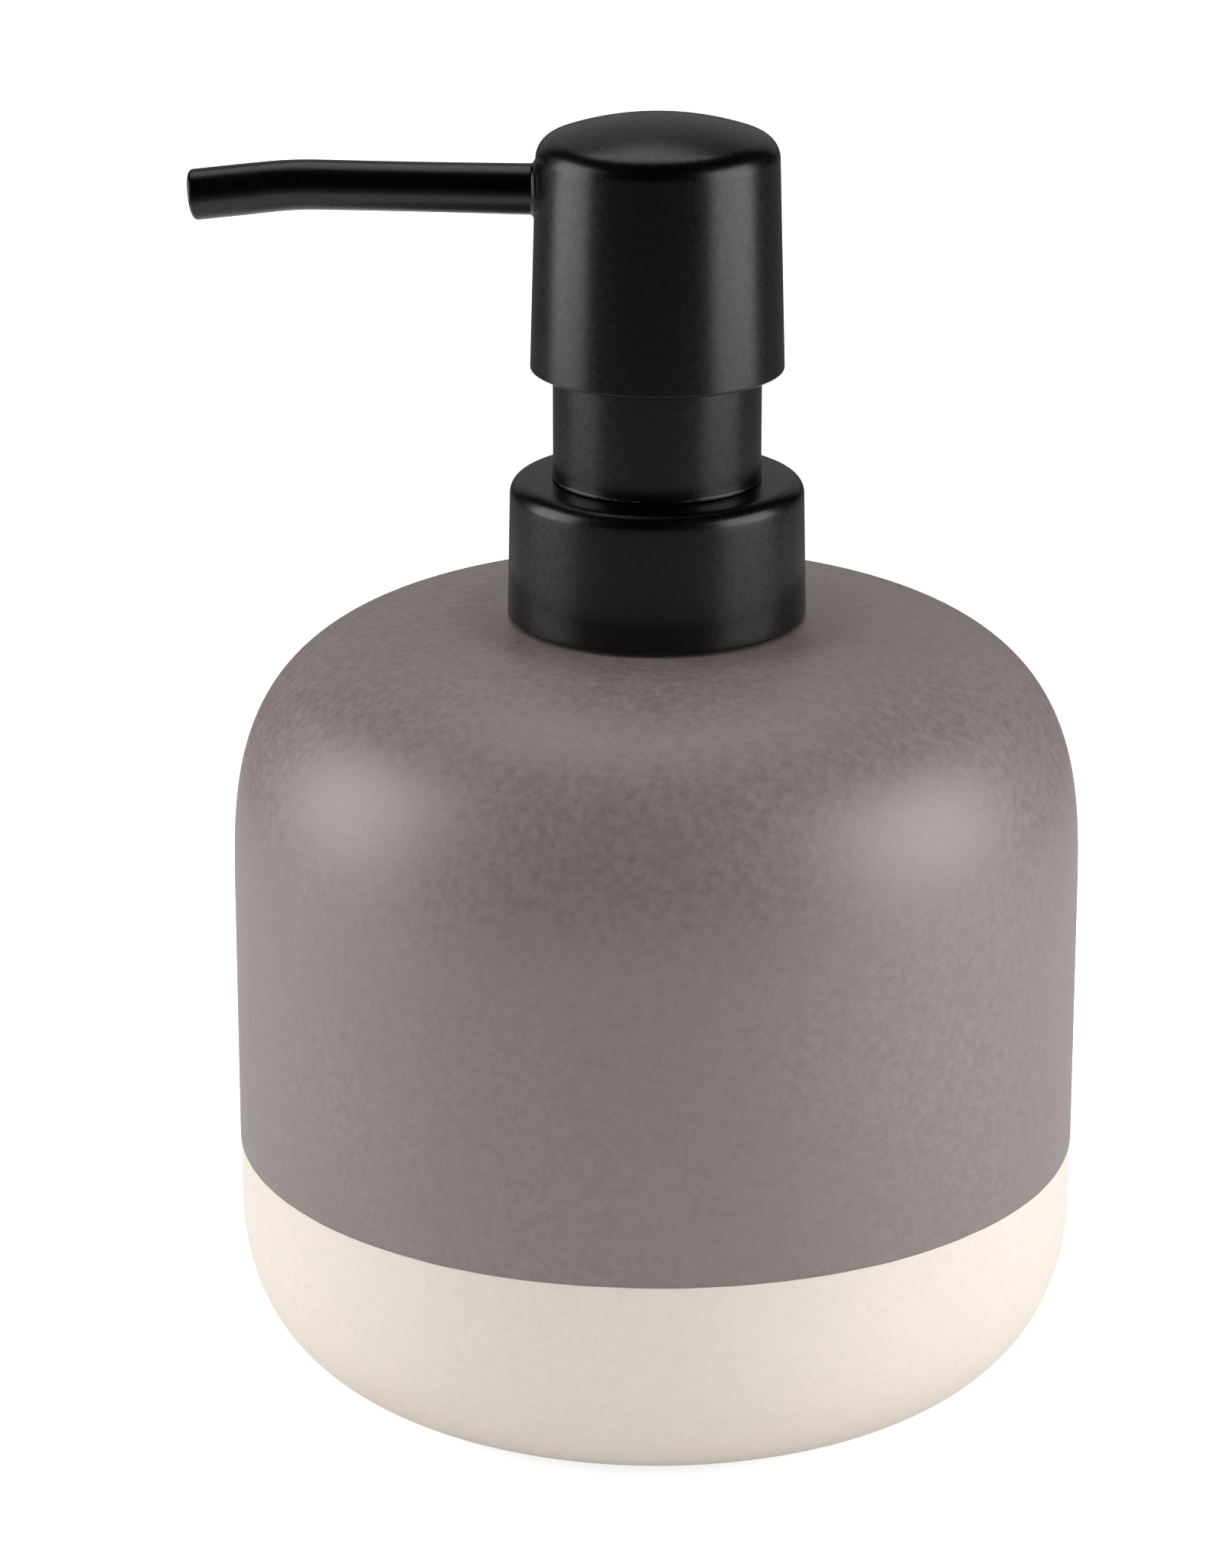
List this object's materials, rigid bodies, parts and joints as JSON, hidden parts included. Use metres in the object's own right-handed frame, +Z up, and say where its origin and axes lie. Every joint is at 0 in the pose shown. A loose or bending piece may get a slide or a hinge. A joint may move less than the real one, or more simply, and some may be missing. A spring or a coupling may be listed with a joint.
{
  "type": "soap pump dispenser",
  "caption": "Round ceramic soap bottle with a domed shoulder, taupe glaze above a cream foot, and a black press-down lotion pump with a side spout.",
  "frame": {"origin": "centre of the bottle's flat base, on the pump axis", "axes": "+Z up along the pump axis, spout along -X"},
  "size_m": [0.1043, 0.1, 0.1523],
  "materials": {
    "glaze": "satin taupe glaze over a bare cream body below the glaze line",
    "black_coat": "satin black",
    "white_plastic": "natural moulded",
    "seal_plastic": "soft moulded",
    "clear_tube": "translucent extruded",
    "gasket_rubber": "foamed",
    "steel": "drawn stainless"
  },
  "bodies": {
    "bottle": {"bottle": "glaze", "neck_insert": "white_plastic"},
    "pump": {"pump_housing": "white_plastic", "neck_gasket": "gasket_rubber", "chaplet": "white_plastic", "sleeve": "black_coat", "spring_seat": "white_plastic", "return_spring": "steel", "dip_tube": "clear_tube"},
    "collar": {"collar_shell": "black_coat", "closure_ring": "white_plastic"},
    "piston": {"piston": "seal_plastic"},
    "head": {"head_shell": "black_coat", "head_core": "white_plastic", "spout": "black_coat", "stem": "white_plastic", "stem_plug": "white_plastic", "outlet_cage": "white_plastic"},
    "inlet_ball": {"inlet_ball": "steel"},
    "outlet_ball": {"outlet_ball": "steel"}
  },
  "joints": [
    {"name": "pump_lift", "type": "slide", "parent": "bottle", "child": "pump", "axis": [0, 0, 1], "range_m": [0, 0.1]},
    {"name": "collar_turn", "type": "hinge", "parent": "pump", "child": "collar", "pos_m": [0, 0, 0.1], "axis": [0, 0, 1], "range_deg": [0, 450]},
    {"name": "press", "type": "slide", "parent": "pump", "child": "piston", "axis": [0, 0, -1], "range_m": [0, 0.0125], "stiffness_N_per_m": 400, "springref_m": -0.01, "deforming": ["return_spring"]},
    {"name": "spout_turn", "type": "hinge", "parent": "piston", "child": "head", "pos_m": [0, 0, 0.13], "axis": [0, 0, 1], "continuous": true},
    {"name": "inlet_ball_lift", "type": "slide", "parent": "pump", "child": "inlet_ball", "axis": [0, 0, 1], "range_m": [0, 0.001]},
    {"name": "outlet_ball_lift", "type": "slide", "parent": "head", "child": "outlet_ball", "axis": [0, 0, 1], "range_m": [0, 0.001]}
  ]
}
